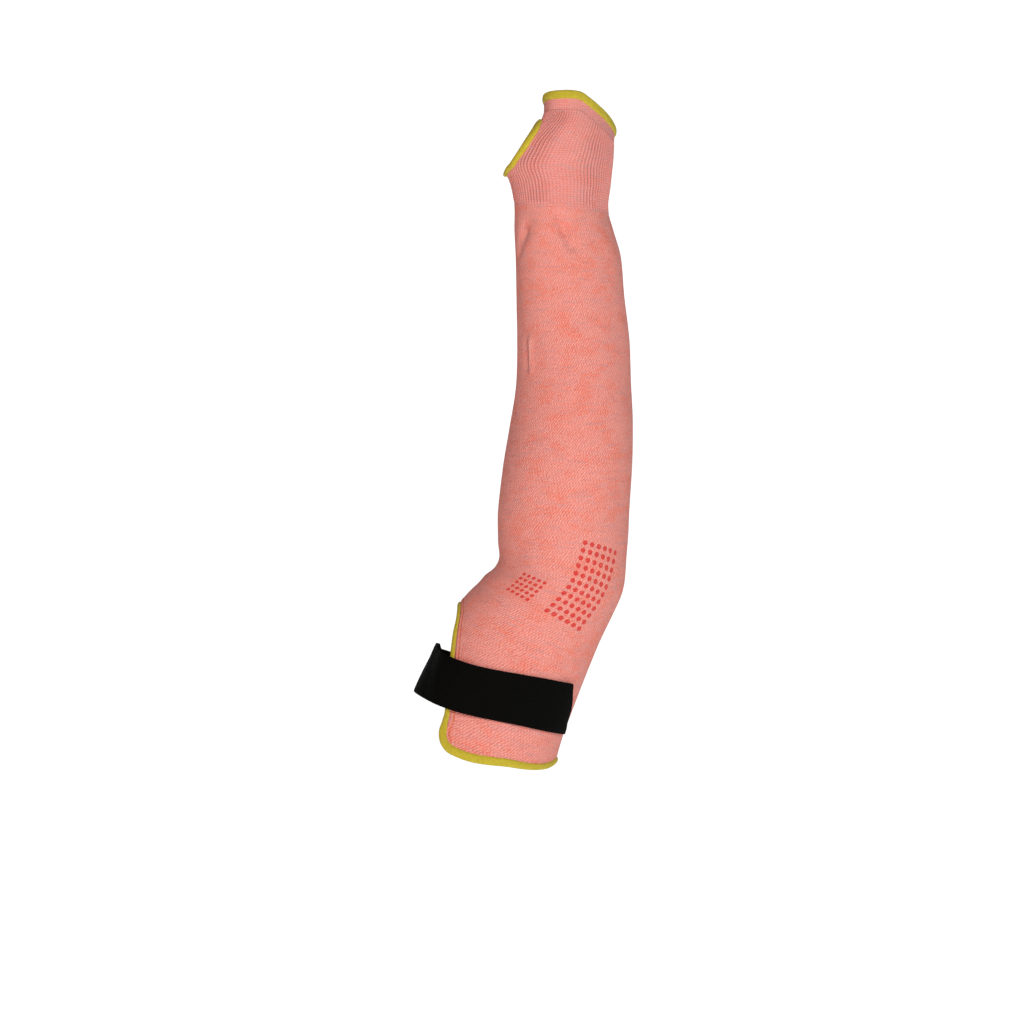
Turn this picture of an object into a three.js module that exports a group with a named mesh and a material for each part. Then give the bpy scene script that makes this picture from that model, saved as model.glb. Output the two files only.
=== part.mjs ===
// Cut resistant sleeve with a thumb hole, for the right arm, hollow and in its worn shape.
// Millimetres, +Z along the forearm part to the hand edge, -Y to the front, -X to the thumb hole.
// The origin is the middle of the hollow, level with the middle of the closure strap.
import * as THREE from 'three';
import { mergeVertices } from 'three/addons/utils/BufferGeometryUtils.js';

// Driving dimensions
const SLEEVE_LENGTH = 508; // from the hem to the hand edge's top, along the middle line
const FOREARM_BREADTH = 98; // widest place of the forearm part, seen from the front
const FOREARM_DEPTH = 98; // the same, seen from the side
const KNIT_WALL = 1.6; // thickness of the plain knit
const CUFF_WALL = 1.9; // thickness of the ribbed knit
const CUFF_LENGTH = 87; // ribbed part, from its first row to the top of the hand edge
const CUFF_LINE_SLANT = 4; // how far the first ribbed row leans off square
const HAND_EDGE_SLANT = 22; // how far the little finger's side of the hand edge lies lower
const HEM_SLANT = 26; // how far the elbow's side of the hem lies higher than its corners
const SLIT_LENGTH = 98; // height of the slit's top above the hem's middle
const SLIT_SPREAD = 60; // half the angle to which the slit is spread at the hem, in degrees
const HEM_CORNER_RADIUS = 15;
const THUMB_HOLE_LENGTH = 36; // along the sleeve
const THUMB_HOLE_TOP = 25; // from the hole's top to the top of the hand edge
const THUMB_HOLE_SPREAD = 38; // half the angle that the hole takes up, in degrees
const THUMB_RIM_SLANT = 57; // slope of the hole's rim, seen from the front, in degrees
const THUMB_RIM_TURN = 4; // how far the rim faces the front, in degrees
const BINDING_WIDTH = 6.6; // overlocked edge, seen from outside
const BINDING_WALL = 0.9; // thread on each face of the cloth
const STRAP_WIDTH = 37.5;
const STRAP_WALL = 2;
const CLEARANCE = 0.4; // between pieces that touch

// Angles round the sleeve: 0 is the crook of the elbow, 90 the front, 180 the point of the elbow
const QUARTER_TURN = 90;
const ELBOW_SIDE = 180;
const FULL_TURN = 360;

// How finely the pieces are faceted
const count = {
  openColumns: 34,
  archColumns: 6,
  openRows: 9,
  blendRows: 3,
  tubeRows: 26,
  cuffColumns: 40,
  rowsBelowHole: 4,
  holeRows: 8,
  rowsAboveHole: 2,
  holeColumns: 10,
  strapSteps: 36,
  strapRows: 4,
  edgeSteps: 24,
};
const ROW_BIAS = 0.8; // below 1, the rings stand closer together towards the hem
const NORMAL_STEP = 0.5; // millimetres and degrees between the points that give a normal
const SAME_POINT = 1e-3; // corners closer than this are one

// Sections across the sleeve. shift and rise place the middle as shares of SLEEVE_LENGTH, tilt
// turns the section in the plane of the front view, breadth and depth are shares of
// FOREARM_BREADTH and FOREARM_DEPTH, and lean turns the oval towards the flat hand end.
const SECTIONS = [
  { name: 'below the hem', shift: -0.049, rise: -0.109, tilt: 25, breadth: 1.247, depth: 1.061, lean: 0 },
  { name: 'hem', shift: -0.029, rise: -0.076, tilt: 25, breadth: 1.241, depth: 1.031, lean: 0 },
  { name: 'strap', shift: 0, rise: 0, tilt: 24, breadth: 1.175, depth: 0.98, lean: 0 },
  { name: 'slit top', shift: 0.0505, rise: 0.109, tilt: 20, breadth: 1.095, depth: 0.93, lean: 0 },
  { name: 'elbow', shift: 0.091, rise: 0.174, tilt: 12, breadth: 0.997, depth: 0.94, lean: 0 },
  { name: 'above the elbow', shift: 0.099, rise: 0.228, tilt: 3, breadth: 0.996, depth: 0.98, lean: 0 },
  { name: 'forearm low', shift: 0.101, rise: 0.278, tilt: 0, breadth: 1.003, depth: 1, lean: 0 },
  { name: 'forearm widest', shift: 0.1075, rise: 0.346, tilt: -2, breadth: 0.992, depth: 1, lean: 0 },
  { name: 'forearm middle', shift: 0.113, rise: 0.407, tilt: -3, breadth: 0.942, depth: 0.94, lean: 0 },
  { name: 'forearm high', shift: 0.116, rise: 0.464, tilt: -2, breadth: 0.884, depth: 0.857, lean: 2 },
  { name: 'forearm slim', shift: 0.1155, rise: 0.529, tilt: 0, breadth: 0.859, depth: 0.786, lean: 4 },
  { name: 'forearm slimmest', shift: 0.111, rise: 0.594, tilt: 0, breadth: 0.83, depth: 0.735, lean: 6 },
  { name: 'puff', shift: 0.108, rise: 0.653, tilt: 0, breadth: 0.807, depth: 0.704, lean: 8 },
  { name: 'wrist', shift: 0.102, rise: 0.692, tilt: 0, breadth: 0.759, depth: 0.684, lean: 9 },
  { name: 'first ribbed row', shift: 0.098, rise: 0.726, tilt: 0, breadth: 0.716, depth: 0.673, lean: 10 },
  { name: 'heel of the hand', shift: 0.097, rise: 0.757, tilt: 0, breadth: 0.761, depth: 0.704, lean: 11 },
  { name: 'thumb low', shift: 0.094, rise: 0.779, tilt: 0, breadth: 0.817, depth: 0.735, lean: 13 },
  { name: 'thumb lower', shift: 0.1015, rise: 0.798, tilt: 0, breadth: 0.761, depth: 0.755, lean: 16 },
  { name: 'thumb middle', shift: 0.1075, rise: 0.814, tilt: 0, breadth: 0.71, depth: 0.765, lean: 20 },
  { name: 'thumb upper', shift: 0.1175, rise: 0.833, tilt: 0, breadth: 0.622, depth: 0.776, lean: 24 },
  { name: 'thumb top', shift: 0.125, rise: 0.851, tilt: 0, breadth: 0.556, depth: 0.765, lean: 28 },
  { name: 'palm', shift: 0.126, rise: 0.872, tilt: 0, breadth: 0.559, depth: 0.755, lean: 30 },
  { name: 'hand edge', shift: 0.126, rise: 0.904, tilt: 0, breadth: 0.559, depth: 0.755, lean: 30 },
];
const HEM_SECTION = 1;

// Folds in the plain knit: a groove (depth above 0) or a ridge (below 0) from one place to
// another. along is a share of SLEEVE_LENGTH, around an angle, width and depth shares of FOREARM_BREADTH.
const FOLDS = [
  { name: 'long crease', along: 0.805, around: 48, toAlong: 0.765, toAround: 20, width: 0.06, depth: 0.014 },
  { name: 'short crease', along: 0.81, around: 84, toAlong: 0.768, toAround: 95, width: 0.06, depth: 0.012 },
  { name: 'raised pleat', along: 0.64, around: 38, toAlong: 0.57, toAround: 40, width: 0.06, depth: -0.008 },
  { name: 'crook dent', along: 0.3, around: -35, toAlong: 0.3, toAround: 40, width: 0.14, depth: 0.022 },
  { name: 'crook roll', along: 0.262, around: -30, toAlong: 0.255, toAround: 34, width: 0.06, depth: -0.01 },
  { name: 'elbow slack', along: 0.29, around: 170, toAlong: 0.26, toAround: 225, width: 0.12, depth: -0.012 },
];

// Slit edge from its top down: down is a share of SLIT_LENGTH, spread of SLIT_SPREAD
const SLIT_EDGE = [
  { down: 0, spread: 0 },
  { down: 0.025, spread: 0.19 },
  { down: 0.1, spread: 0.37 },
  { down: 0.18, spread: 0.47 },
  { down: 0.33, spread: 0.63 },
  { down: 0.55, spread: 0.81 },
  { down: 0.8, spread: 0.98 },
  { down: 0.92, spread: 1 },
  { down: 1.1, spread: 1.01 },
];
const ARCH_SHARE = 0.1; // how far down the slit its rounded top reaches, as a share of its length

// Hem height against the angle from the slit's middle, in shares of HEM_SLANT
const HEM_EDGE = [
  { around: 55, height: -0.2 },
  { around: 80, height: -0.19 },
  { around: 90, height: -0.14 },
  { around: 101, height: -0.02 },
  { around: 114, height: 0.14 },
  { around: 133, height: 0.3 },
  { around: 150, height: 0.46 },
  { around: 165, height: 0.62 },
  { around: 175, height: 0.68 },
  { around: 180, height: 0.68 },
];

// Hand edge: how far it lies below its top, in shares of HAND_EDGE_SLANT
const HAND_EDGE = [
  { around: 0, fall: 0.03 },
  { around: 50, fall: 0 },
  { around: 88, fall: 0.01 },
  { around: 104, fall: 0.19 },
  { around: 122, fall: 0.42 },
  { around: 153, fall: 0.76 },
  { around: 180, fall: 0.96 },
  { around: 205, fall: 1 },
  { around: 240, fall: 0.9 },
  { around: 280, fall: 0.58 },
  { around: 325, fall: 0.16 },
  { around: 360, fall: 0.03 },
];

// Strap: the height of its middle line against the angle, as a share of STRAP_WIDTH
const STRAP_LINE = [
  { around: -75, height: 1.1 },
  { around: -40, height: 1.06 },
  { around: 0, height: 1.06 },
  { around: 45, height: 1.07 },
  { around: 65, height: 1.12 },
  { around: 82, height: 1.21 },
  { around: 100, height: 1.32 },
  { around: 120, height: 1.42 },
  { around: 146, height: 1.5 },
  { around: 175, height: 1.55 },
];
const STRAP_SEWN_END = -84; // where it is sewn to the hidden edge of the slit
// Free end of the strap: across runs from the lower edge (0) to the upper edge (1)
const STRAP_CUT = [
  { across: 0, around: 165 },
  { across: 0.25, around: 160 },
  { across: 0.5, around: 157 },
  { across: 0.75, around: 152 },
  { across: 1, around: 145 },
];

const COLOURS = {
  knit: 0xee8f80,
  rib: 0xe08e84,
  binding: 0xcdb92f,
  strap: 0x111110,
};

const radians = THREE.MathUtils.degToRad;
const mix = THREE.MathUtils.lerp;
const smoothstep = THREE.MathUtils.smoothstep;

// Smooth value of a table's column: cubic pieces through the rows, with slopes from their neighbours
function readTable(rows, at, key, column) {
  let i = 0;
  while (i < rows.length - 2 && at > rows[i + 1][key]) i += 1;
  const slope = (k) => {
    const low = rows[Math.max(k - 1, 0)];
    const high = rows[Math.min(k + 1, rows.length - 1)];
    return (high[column] - low[column]) / (high[key] - low[key]);
  };
  const step = rows[i + 1][key] - rows[i][key];
  const t = THREE.MathUtils.clamp((at - rows[i][key]) / step, 0, 1);
  const rise = t * t * (3 - 2 * t);
  const leave = t * (1 - t) * (1 - t) * step * slope(i);
  const arrive = t * t * (t - 1) * step * slope(i + 1);
  return mix(rows[i][column], rows[i + 1][column], rise) + leave + arrive;
}

// Each section's distance from the hem along the middle line
function placeSections() {
  let along = 0;
  SECTIONS.forEach((row, i) => {
    if (i > 0) {
      const last = SECTIONS[i - 1];
      along += Math.hypot(row.shift - last.shift, row.rise - last.rise) * SLEEVE_LENGTH;
    }
    row.along = along;
  });
  const hem = SECTIONS[HEM_SECTION].along;
  SECTIONS.forEach((row) => {
    row.along -= hem;
  });
}
placeSections();

// A place on the sleeve is { along, around }: millimetres from the hem and degrees from the crook
function ovalPoint({ along, around }) {
  const read = (column) => readTable(SECTIONS, along, 'along', column);
  const angle = radians(around);
  const tilt = radians(read('tilt'));
  const across = -Math.cos(angle) * read('breadth') * FOREARM_BREADTH / 2;
  const towards = -Math.sin(angle + radians(read('lean'))) * read('depth') * FOREARM_DEPTH / 2;
  return new THREE.Vector3(
    read('shift') * SLEEVE_LENGTH + across * Math.cos(tilt),
    towards,
    read('rise') * SLEEVE_LENGTH - across * Math.sin(tilt),
  );
}

function outwardNormal(surface, place) {
  const shifted = (along, around) => surface({ along: place.along + along, around: place.around + around });
  const round = shifted(0, NORMAL_STEP).sub(shifted(0, -NORMAL_STEP));
  const up = shifted(NORMAL_STEP, 0).sub(shifted(-NORMAL_STEP, 0));
  return round.cross(up).normalize();
}

function millimetresPerDegree(along) {
  const breadth = readTable(SECTIONS, along, 'along', 'breadth') * FOREARM_BREADTH;
  const depth = readTable(SECTIONS, along, 'along', 'depth') * FOREARM_DEPTH;
  return Math.PI * (breadth + depth) / 2 / FULL_TURN;
}

const signedTurn = (around) => THREE.MathUtils.euclideanModulo(around + ELBOW_SIDE, FULL_TURN) - ELBOW_SIDE;

// Folds move the plain knit in or out along its normal
function foldHeight({ along, around }) {
  const scale = millimetresPerDegree(along);
  let height = 0;
  for (const fold of FOLDS) {
    const run = new THREE.Vector2(signedTurn(fold.toAround - fold.around) * scale,
      (fold.toAlong - fold.along) * SLEEVE_LENGTH);
    const here = new THREE.Vector2(signedTurn(around - fold.around) * scale,
      along - fold.along * SLEEVE_LENGTH);
    const share = THREE.MathUtils.clamp(here.dot(run) / run.lengthSq(), 0, 1);
    const away = here.sub(run.multiplyScalar(share)).length() / (fold.width * FOREARM_BREADTH);
    height -= fold.depth * FOREARM_BREADTH * Math.exp(-away * away);
  }
  return height;
}

function tubeSurface(place) {
  const point = ovalPoint(place);
  return point.addScaledVector(outwardNormal(ovalPoint, place), foldHeight(place));
}

// Thumb hole: an oval in along and around, drawn out to a flat rim that faces up and to the thumb
const HOLE_TOP = SLEEVE_LENGTH - THUMB_HOLE_TOP;
const HOLE_MIDDLE = HOLE_TOP - THUMB_HOLE_LENGTH / 2;
const HOLE_REACH = 2.2; // how many hole sizes away the cloth still follows the rim
const HOLE_LOW_POINT = ovalPoint({ along: HOLE_TOP - THUMB_HOLE_LENGTH, around: 0 });
const RIM_NORMAL = new THREE.Vector3(0, -Math.sin(radians(THUMB_RIM_TURN)), Math.cos(radians(THUMB_RIM_TURN)))
  .applyAxisAngle(new THREE.Vector3(0, 1, 0), -radians(THUMB_RIM_SLANT));

function cuffSurface(place) {
  const point = ovalPoint(place);
  const x = signedTurn(place.around) / THUMB_HOLE_SPREAD;
  const y = (place.along - HOLE_MIDDLE) * 2 / THUMB_HOLE_LENGTH;
  const away = Math.hypot(x, y);
  if (away >= HOLE_REACH || away === 0) return point;
  const rim = ovalPoint({
    along: HOLE_MIDDLE + y / away * THUMB_HOLE_LENGTH / 2,
    around: x / away * THUMB_HOLE_SPREAD,
  });
  const short = Math.max(0, -rim.sub(HOLE_LOW_POINT).dot(RIM_NORMAL));
  return point.addScaledVector(RIM_NORMAL, short * (1 - smoothstep(away, 1, HOLE_REACH)));
}

// Triangles in a flat list of points become one closed geometry with outward faces
function closedGeometry(points) {
  let volume = 0;
  for (let i = 0; i < points.length; i += 3) {
    volume += points[i].dot(points[i + 1].clone().cross(points[i + 2]));
  }
  if (volume < 0) points.reverse();
  const geometry = new THREE.BufferGeometry().setFromPoints(points);
  const merged = mergeVertices(geometry, SAME_POINT);
  merged.computeVertexNormals();
  return merged;
}

function addQuad(points, a, b, c, d) {
  if (a.distanceTo(c) <= b.distanceTo(d)) points.push(a, b, c, a, c, d);
  else points.push(a, b, d, b, c, d);
}

// Points on both faces of a wall, from a grid of places. skin and lining turn a place into a
// point of the outer and of the inner face.
const layCloth = (grid, skin, lining) => ({
  outer: grid.map((row) => row.map(skin)),
  inner: grid.map((row) => row.map(lining)),
});

// The closed wall between both faces. isCloth(row, column) says which cells exist, and every
// free side of a cell gets an edge face.
function wallGeometry({ outer, inner }, isCloth, wraps) {
  const columns = outer[0].length;
  const cells = wraps ? columns : columns - 1;
  const exists = (i, j) => {
    if (i < 0 || i >= outer.length - 1) return false;
    if (!wraps && (j < 0 || j >= cells)) return false;
    return isCloth(i, (j + cells) % cells);
  };
  const points = [];
  for (let i = 0; i < outer.length - 1; i += 1) {
    for (let j = 0; j < cells; j += 1) {
      if (!exists(i, j)) continue;
      const next = (j + 1) % columns;
      const corners = [[i, j], [i, next], [i + 1, next], [i + 1, j]];
      const out = corners.map(([r, c]) => outer[r][c]);
      const back = corners.map(([r, c]) => inner[r][c]);
      addQuad(points, ...out);
      addQuad(points, back[3], back[2], back[1], back[0]);
      const neighbours = [exists(i - 1, j), exists(i, j + 1), exists(i + 1, j), exists(i, j - 1)];
      neighbours.forEach((there, side) => {
        const end = (side + 1) % 4;
        if (!there) addQuad(points, out[end], out[side], back[side], back[end]);
      });
    }
  }
  return closedGeometry(points);
}

// A U-shaped binding folded over the edge of the cloth. loop goes once round the edge, and each
// of its steps names a grid point on the edge and the next one inward, so the binding lies flat
// on the cloth's own faces.
function bindingGeometry({ outer, inner }, loop) {
  const tip = BINDING_WIDTH - CLEARANCE - BINDING_WALL;
  const over = CLEARANCE + BINDING_WALL;
  const rings = loop.map(({ edge, next }) => {
    const skin = outer[edge[0]][edge[1]];
    const lining = inner[edge[0]][edge[1]];
    const nextSkin = outer[next[0]][next[1]];
    const nextLining = inner[next[0]][next[1]];
    const normal = skin.clone().sub(lining).normalize();
    const nextNormal = nextSkin.clone().sub(nextLining).normalize();
    const offset = (from, to, inset, height) => {
      const share = inset / from.distanceTo(to);
      const off = normal.clone().lerp(nextNormal, Math.max(share, 0)).normalize();
      return from.clone().lerp(to, share).addScaledVector(off, height);
    };
    const onSkin = (inset, height) => offset(skin, nextSkin, inset, height);
    const onLining = (inset, height) => offset(lining, nextLining, inset, -height);
    return [
      onSkin(tip, CLEARANCE), onSkin(tip, over), onSkin(-CLEARANCE, over), onSkin(-over, 0),
      onLining(-over, 0), onLining(-CLEARANCE, over), onLining(tip, over), onLining(tip, CLEARANCE),
      onLining(-CLEARANCE, CLEARANCE), onSkin(-CLEARANCE, CLEARANCE),
    ];
  });
  const points = [];
  rings.forEach((ring, k) => {
    const nextRing = rings[(k + 1) % rings.length];
    ring.forEach((point, m) => {
      const n = (m + 1) % ring.length;
      addQuad(points, point, ring[n], nextRing[n], nextRing[m]);
    });
  });
  return closedGeometry(points);
}

// Places evenly spaced along a line of places
function spread(line, count) {
  const far = [0];
  for (let i = 1; i < line.length; i += 1) {
    const width = (line[i].around - line[i - 1].around) * millimetresPerDegree(0);
    far.push(far[i - 1] + Math.hypot(width, line[i].along - line[i - 1].along));
  }
  const places = [];
  for (let k = 0; k <= count; k += 1) {
    const goal = far[far.length - 1] * k / count;
    let i = 1;
    while (i < line.length - 1 && far[i] < goal) i += 1;
    const share = (goal - far[i - 1]) / (far[i] - far[i - 1]);
    places.push({
      along: mix(line[i - 1].along, line[i].along, share),
      around: mix(line[i - 1].around, line[i].around, share),
    });
  }
  return places;
}

const mirrored = (line) => line.map(({ along, around }) => ({ along, around: FULL_TURN - around })).reverse();

// Edges of the spread upper end, on the front half
const hemAlong = (around) => readTable(HEM_EDGE, around, 'around', 'height') * HEM_SLANT;

function slitPlace(down) {
  const spreadShare = readTable(SLIT_EDGE, down, 'down', 'spread');
  return { along: SLIT_LENGTH * (1 - down), around: spreadShare * SLIT_SPREAD };
}

// Where the slit's edge ends and the rounded corner of the hem begins
const cornerStart = () => 1 - (hemAlong(SLIT_SPREAD) + HEM_CORNER_RADIUS) / SLIT_LENGTH;

function frontSlitEdge() {
  const line = [];
  for (let k = 0; k <= count.edgeSteps; k += 1) {
    line.push(slitPlace(mix(ARCH_SHARE, cornerStart(), k / count.edgeSteps)));
  }
  return line;
}

function frontCorner(from, to) {
  const radius = HEM_CORNER_RADIUS / millimetresPerDegree(0);
  const side = slitPlace(cornerStart());
  const line = [];
  for (let k = 0; k <= count.edgeSteps; k += 1) {
    const angle = radians(mix(from, to, k / count.edgeSteps));
    const around = side.around + radius * (1 - Math.cos(angle));
    line.push({ along: hemAlong(around) + HEM_CORNER_RADIUS * (1 - Math.sin(angle)), around });
  }
  return line;
}

function frontHem() {
  const start = frontCorner(QUARTER_TURN / 2, QUARTER_TURN);
  const line = [...start];
  for (let k = 1; k <= count.edgeSteps; k += 1) {
    const around = mix(start[count.edgeSteps].around, ELBOW_SIDE, k / count.edgeSteps);
    line.push({ along: hemAlong(around), around });
  }
  return line;
}

function frontArch() {
  const line = [];
  for (let k = 0; k <= count.edgeSteps; k += 1) line.push(slitPlace(ARCH_SHARE * (k / count.edgeSteps) ** 2));
  return line;
}

// Grid of the plain knit: open rows beside the slit, rings that close over it, then even rings
function sleeveGrid() {
  const sideLine = [...frontSlitEdge(), ...frontCorner(0, QUARTER_TURN / 2).slice(1)].reverse();
  const side = spread(sideLine, count.openRows);
  const farSide = side.map(({ along, around }) => ({ along, around: FULL_TURN - around }));
  const hemLine = frontHem();
  const hem = spread([...hemLine, ...mirrored(hemLine).slice(1)], count.openColumns);
  const shoulder = side[count.openRows];
  const top = hem.map((_, j) => ({
    along: shoulder.along,
    around: mix(shoulder.around, FULL_TURN - shoulder.around, j / count.openColumns),
  }));
  const archLine = frontArch();
  const farArch = archLine.map(({ along, around }) => ({ along, around: -around })).reverse();
  const arch = spread([...farArch, ...archLine.slice(1)], count.archColumns);

  const grid = [];
  for (let i = 0; i <= count.openRows; i += 1) {
    const t = i / count.openRows;
    const row = hem.map((_, j) => {
      const u = j / count.openColumns;
      const corners = (line, key) => mix(line[0][key], line[count.openColumns][key], u);
      const blend = (key) => mix(hem[j][key], top[j][key], t) + mix(side[i][key], farSide[i][key], u)
        - mix(corners(hem, key), corners(top, key), t);
      return { along: blend('along'), around: blend('around') };
    });
    for (let k = 1; k < count.archColumns; k += 1) {
      row.push({ along: arch[k].along, around: arch[k].around + FULL_TURN });
    }
    grid.push(row);
  }
  const last = grid[count.openRows];
  const columns = last.length;
  const ringPitch = SLEEVE_LENGTH / (count.tubeRows + count.blendRows + count.openRows);
  const evenStart = SLIT_LENGTH + count.blendRows * ringPitch / 2;
  const firstAngle = count.archColumns / 2 * FULL_TURN / columns;
  const ring = (along) => last.map((_, j) => ({ along, around: firstAngle + j * FULL_TURN / columns }));
  const even = ring(evenStart);
  for (let i = 1; i < count.blendRows; i += 1) {
    grid.push(last.map((place, j) => ({
      along: mix(place.along, even[j].along, i / count.blendRows),
      around: mix(place.around, even[j].around, i / count.blendRows),
    })));
  }
  for (let i = 0; i <= count.tubeRows; i += 1) {
    const t = (i / count.tubeRows) ** ROW_BIAS;
    grid.push(even.map(({ around }) => ({
      along: mix(evenStart, cuffLine(around) - CLEARANCE / 2, t),
      around,
    })));
  }
  return grid;
}

const CUFF_LINE_HIGH = -40; // angle at which the first ribbed row is highest
const cuffLine = (around) => SLEEVE_LENGTH - CUFF_LENGTH
  + CUFF_LINE_SLANT * Math.cos(radians(around - CUFF_LINE_HIGH));
function handEdge(around) {
  const turn = THREE.MathUtils.euclideanModulo(around, FULL_TURN);
  const fall = HAND_EDGE_SLANT * readTable(HAND_EDGE, turn, 'around', 'fall');
  return SLEEVE_LENGTH - CLEARANCE - BINDING_WALL - fall;
}

// Angle of a column of the cuff's grid: one block of columns meets the hole, the rest are beside it
function cuffAngle(j) {
  const half = count.holeColumns / 2;
  const beside = (j - half) / (count.cuffColumns - count.holeColumns);
  if (beside <= 0) return j / half * THUMB_HOLE_SPREAD;
  if (beside >= 1) return (j - count.cuffColumns) / half * THUMB_HOLE_SPREAD;
  return mix(THUMB_HOLE_SPREAD, FULL_TURN - THUMB_HOLE_SPREAD, beside);
}

// Grid of the ribbed cuff: the hole's block of cells is left out, and the lines near it bend so
// that its sides form an oval
function cuffGrid() {
  const rows = count.rowsBelowHole + count.holeRows + count.rowsAboveHole;
  const grid = [];
  for (let i = 0; i <= rows; i += 1) {
    const row = [];
    for (let j = 0; j < count.cuffColumns; j += 1) {
      const around = cuffAngle(j);
      const low = cuffLine(around) + CLEARANCE / 2;
      const high = handEdge(around);
      let along = 0;
      if (i <= count.rowsBelowHole) {
        along = mix(low, HOLE_MIDDLE - THUMB_HOLE_LENGTH / 2, i / count.rowsBelowHole);
      } else if (i <= count.rowsBelowHole + count.holeRows) {
        along = HOLE_MIDDLE + THUMB_HOLE_LENGTH * ((i - count.rowsBelowHole) / count.holeRows - 0.5);
      } else {
        const share = (i - count.rowsBelowHole - count.holeRows) / count.rowsAboveHole;
        along = mix(HOLE_MIDDLE + THUMB_HOLE_LENGTH / 2, high, share);
      }
      row.push(roundedTowardsHole({ along, around }, low, high));
    }
    grid.push(row);
  }
  return grid;
}

function roundedTowardsHole({ along, around }, low, high) {
  const x = signedTurn(around) / THUMB_HOLE_SPREAD;
  const y = (along - HOLE_MIDDLE) * 2 / THUMB_HOLE_LENGTH;
  const square = Math.max(Math.abs(x), Math.abs(y));
  if (square >= HOLE_REACH || along <= low || along >= high) return { along, around };
  const pull = mix(square / Math.hypot(x, y), 1, smoothstep(square, 1, HOLE_REACH));
  return { along: HOLE_MIDDLE + y * pull * THUMB_HOLE_LENGTH / 2, around: x * pull * THUMB_HOLE_SPREAD };
}

// Height of the strap's inner face over the cloth: it rides over the bound slit edges and dips
// between them. Both distances are in widths of the binding, from its edge.
const STRAP_DIP = { from: -4, to: -0.5 };
const STRAP_SETTLE = { from: 2, to: 4 };
const STRAP_SEAT = 2 * CLEARANCE;

function strapLift({ along, around }) {
  const down = THREE.MathUtils.clamp(1 - along / SLIT_LENGTH, 0, 1);
  const edge = slitPlace(down).around;
  const past = (Math.abs(signedTurn(around)) - edge) * millimetresPerDegree(along) / BINDING_WIDTH;
  const onCloth = smoothstep(past, STRAP_DIP.from, STRAP_DIP.to);
  const onBinding = 1 - smoothstep(past, STRAP_SETTLE.from, STRAP_SETTLE.to);
  return mix(-KNIT_WALL, STRAP_SEAT + (CLEARANCE + BINDING_WALL) * onBinding, onCloth);
}

function strapGrid() {
  const grid = [];
  for (let i = 0; i <= count.strapRows; i += 1) {
    const across = i / count.strapRows;
    const end = readTable(STRAP_CUT, across, 'across', 'around');
    const row = [];
    for (let k = 0; k <= count.strapSteps; k += 1) {
      const around = mix(STRAP_SEWN_END, end, k / count.strapSteps);
      const middle = readTable(STRAP_LINE, around, 'around', 'height') * STRAP_WIDTH;
      row.push({ along: middle + (across - 0.5) * STRAP_WIDTH, around });
    }
    grid.push(row);
  }
  return grid;
}

const offFace = (surface, height) => (place) =>
  surface(place).addScaledVector(outwardNormal(surface, place), height(place));

const sleeve = new THREE.Group();

function addPiece(name, geometry, { colour, roughness }) {
  const material = new THREE.MeshStandardMaterial({ color: colour, roughness, metalness: 0 });
  const mesh = new THREE.Mesh(geometry, material);
  mesh.name = name;
  sleeve.add(mesh);
}

const range = (from, to) => Array.from({ length: to - from + 1 }, (_, k) => from + k);

function addSleeveBody() {
  const cloth = layCloth(sleeveGrid(), tubeSurface, offFace(tubeSurface, () => -KNIT_WALL));
  const rows = count.openRows;
  const last = count.openColumns;
  const isCloth = (i, j) => i >= rows || j < last;
  addPiece('sleeve_body', wallGeometry(cloth, isCloth, true), { colour: COLOURS.knit, roughness: 0.9 });
  const loop = [
    { edge: [rows, 0], next: [rows + 1, 0] },
    ...range(1, rows).reverse().map((i) => ({ edge: [i, 0], next: [i, 1] })),
    { edge: [0, 0], next: [1, 1] },
    ...range(1, last - 1).map((j) => ({ edge: [0, j], next: [1, j] })),
    { edge: [0, last], next: [1, last - 1] },
    ...range(1, rows).map((i) => ({ edge: [i, last], next: [i, last - 1] })),
    { edge: [rows, last], next: [rows + 1, last] },
    ...range(last + 1, last + count.archColumns - 1).map((j) => ({ edge: [rows, j], next: [rows + 1, j] })),
  ];
  addPiece('hem_binding', bindingGeometry(cloth, loop), { colour: COLOURS.binding, roughness: 0.75 });
}

function addCuff() {
  const cloth = layCloth(cuffGrid(), cuffSurface, offFace(cuffSurface, () => -CUFF_WALL));
  const side = count.holeColumns / 2;
  const farSide = count.cuffColumns - side;
  const low = count.rowsBelowHole;
  const high = low + count.holeRows;
  const isCloth = (i, j) => i < low || i >= high || (j >= side && j < farSide);
  addPiece('rib_cuff', wallGeometry(cloth, isCloth, true), { colour: COLOURS.rib, roughness: 0.9 });
  const last = high + count.rowsAboveHole;
  const handLoop = range(0, count.cuffColumns - 1).map((j) => ({ edge: [last, j], next: [last - 1, j] }));
  addPiece('hand_binding', bindingGeometry(cloth, handLoop), { colour: COLOURS.binding, roughness: 0.75 });
  const across = range(1 - side, side - 1).map((j) => (j + count.cuffColumns) % count.cuffColumns);
  const up = range(low + 1, high - 1);
  const corner = (i, j, rowStep, columnStep) => {
    const fan = [[i + rowStep, j], [i + rowStep, j + columnStep], [i, j + columnStep]];
    return fan.map((next) => ({ edge: [i, j], next }));
  };
  const thumbLoop = [
    ...corner(low, farSide, -1, -1).reverse(),
    ...across.map((j) => ({ edge: [low, j], next: [low - 1, j] })),
    ...corner(low, side, -1, 1),
    ...up.map((i) => ({ edge: [i, side], next: [i, side + 1] })),
    ...corner(high, side, 1, 1).reverse(),
    ...[...across].reverse().map((j) => ({ edge: [high, j], next: [high + 1, j] })),
    ...corner(high, farSide, 1, -1),
    ...[...up].reverse().map((i) => ({ edge: [i, farSide], next: [i, farSide - 1] })),
  ];
  addPiece('thumb_binding', bindingGeometry(cloth, thumbLoop), { colour: COLOURS.binding, roughness: 0.75 });
}

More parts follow.
